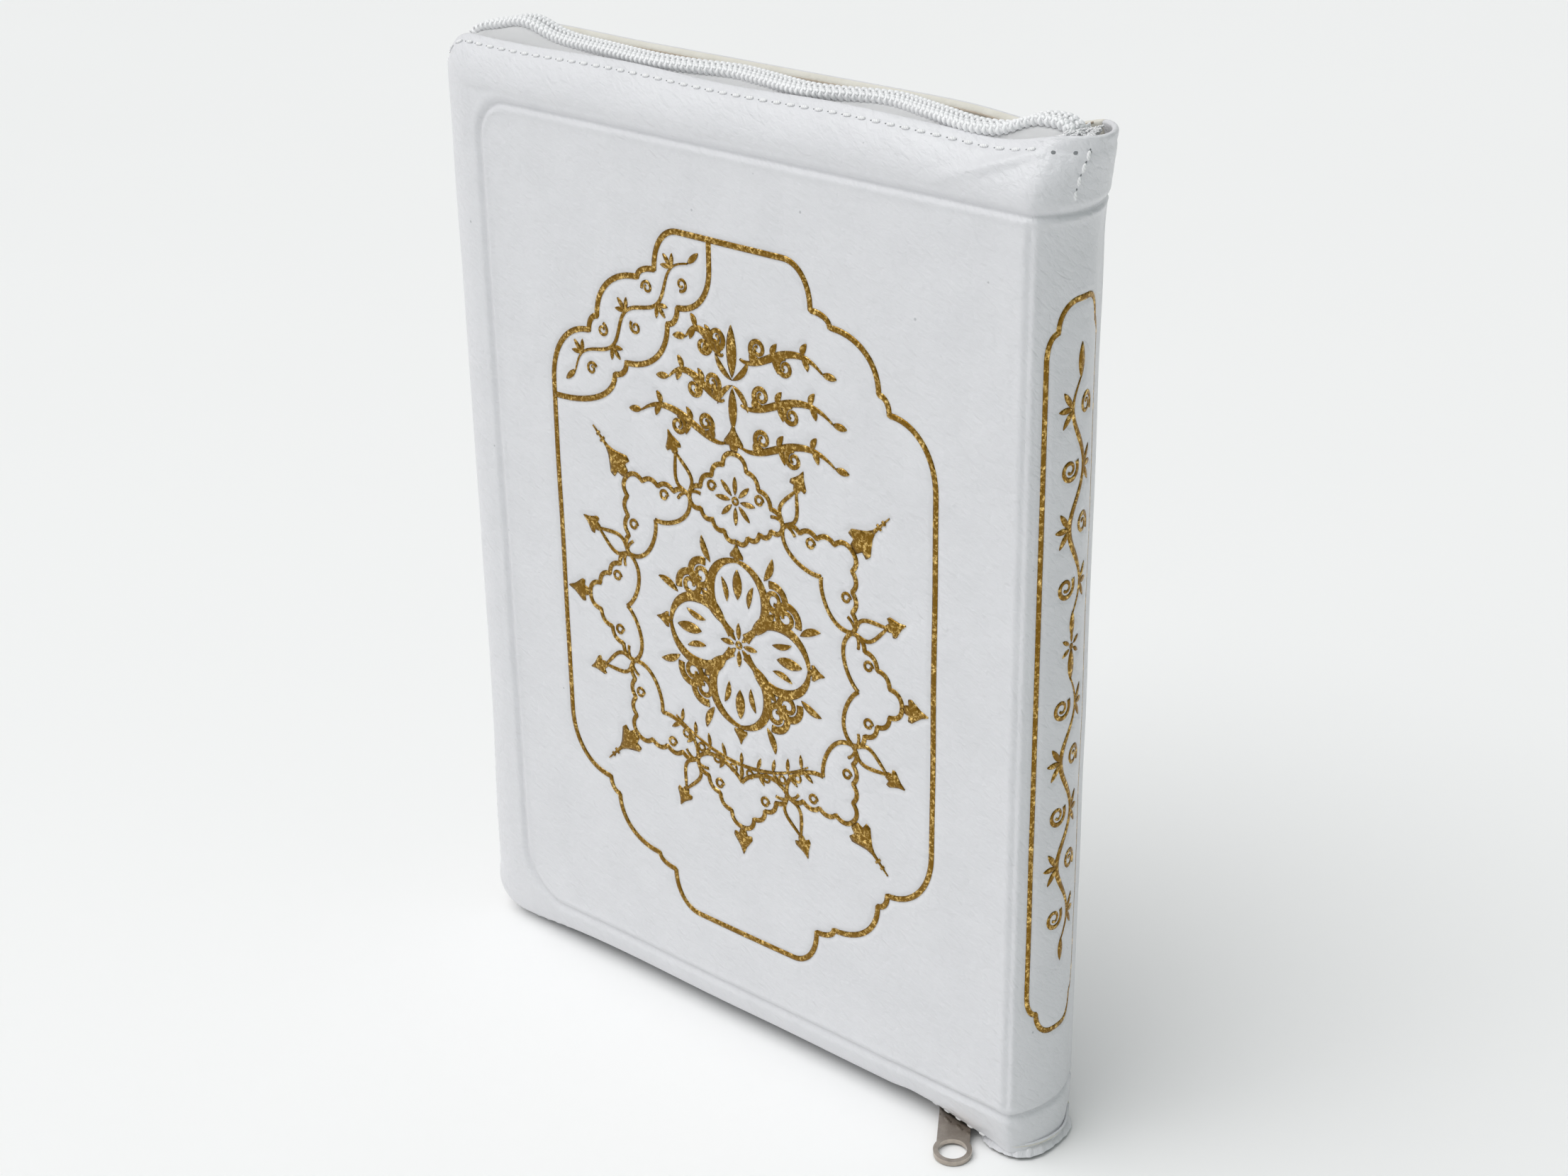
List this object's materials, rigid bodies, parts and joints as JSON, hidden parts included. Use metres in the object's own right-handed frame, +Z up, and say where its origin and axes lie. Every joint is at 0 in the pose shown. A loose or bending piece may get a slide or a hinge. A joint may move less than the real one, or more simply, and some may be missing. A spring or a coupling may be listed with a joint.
{
  "type": "prayer book",
  "caption": "Prayer book with a padded white zip-around cover, gold foil ornament, opening covers and leaves, and a sliding zip with a swinging pull.",
  "frame": {"origin": "on the floor, at the centre of the footprint of the book standing on its tail", "axes": "+Z up towards the head of the book, -Y out of the front cover, +X towards the spine"},
  "size_m": [0.1581, 0.0328, 0.213],
  "materials": {
    "leather": "white leatherette, fine grain, soft sheen",
    "foam": "soft foam sheet",
    "board": "grey board",
    "lining": "ivory lining paper",
    "kraft": "kraft paper",
    "cloth": "open-weave spine cloth",
    "glue": "dried binding glue",
    "band": "striped woven band",
    "pages": "cream page edges",
    "flyleaf": "plain cream paper",
    "tape": "white woven tape",
    "coil": "white nylon coil",
    "stop": "pressed metal stop",
    "slider": "nickel-plated die casting",
    "pull": "nickel-plated stamping",
    "thread": "white polyester thread",
    "foil": "antique gold hot foil"
  },
  "bodies": {
    "spine": {"spine_leather": "leather", "tail_lip": "leather", "spine_padding": "foam", "spine_board": "board", "spine_tube": "kraft", "spine_cloth": "cloth", "spine_glue": "glue", "head_band": "band", "tail_band": "band", "middle_sections": "pages", "zip_end_stop": "stop", "spine_stitches": "thread", "spine_foil": "foil"},
    "front_cover": {"front_leather": "leather", "front_padding": "foam", "front_board": "board", "front_lining": "lining", "front_zip_tape": "tape", "front_zip_coil": "coil", "front_zip_stop": "stop", "front_stitches": "thread", "front_foil": "foil"},
    "back_cover": {"back_leather": "leather", "back_padding": "foam", "back_board": "board", "back_lining": "lining", "back_zip_tape": "tape", "back_zip_coil": "coil", "back_zip_stop": "stop", "back_stitches": "thread"},
    "front_leaves": {"front_sections": "pages", "front_flyleaf": "flyleaf"},
    "back_leaves": {"back_sections": "pages", "back_flyleaf": "flyleaf"},
    "slider": {"slider_body": "slider"},
    "pull": {"zip_pull": "pull"}
  },
  "joints": [
    {"name": "front_cover_hinge", "type": "hinge", "parent": "spine", "child": "front_cover", "pos_m": [0.073, -0.00763, 0], "axis": [0, 0, 1], "range_deg": [0, 170]},
    {"name": "back_cover_hinge", "type": "hinge", "parent": "spine", "child": "back_cover", "pos_m": [0.073, 0.01637, 0], "axis": [0, 0, -1], "range_deg": [0, 170]},
    {"name": "front_leaves_turn", "type": "hinge", "parent": "spine", "child": "front_leaves", "pos_m": [0.0705, 0.00067, 0], "axis": [0, 0, 1], "range_deg": [0, 68]},
    {"name": "back_leaves_turn", "type": "hinge", "parent": "spine", "child": "back_leaves", "pos_m": [0.0705, 0.00807, 0], "axis": [0, 0, -1], "range_deg": [0, 68]},
    {"name": "zip_slide", "type": "slide", "parent": "back_cover", "child": "slider", "axis": [-1, 0, 0], "range_m": [0, 0.1]},
    {"name": "pull_swing", "type": "hinge", "parent": "slider", "child": "pull", "pos_m": [0.052, 0.00437, 0.00205], "axis": [0.829, 0.5592, 0], "range_deg": [0, 120]}
  ],
  "couplings": [
    {"joint": "front_leaves_turn", "follows": "front_cover_hinge", "ratio": 0.4},
    {"joint": "back_leaves_turn", "follows": "back_cover_hinge", "ratio": 0.4}
  ]
}
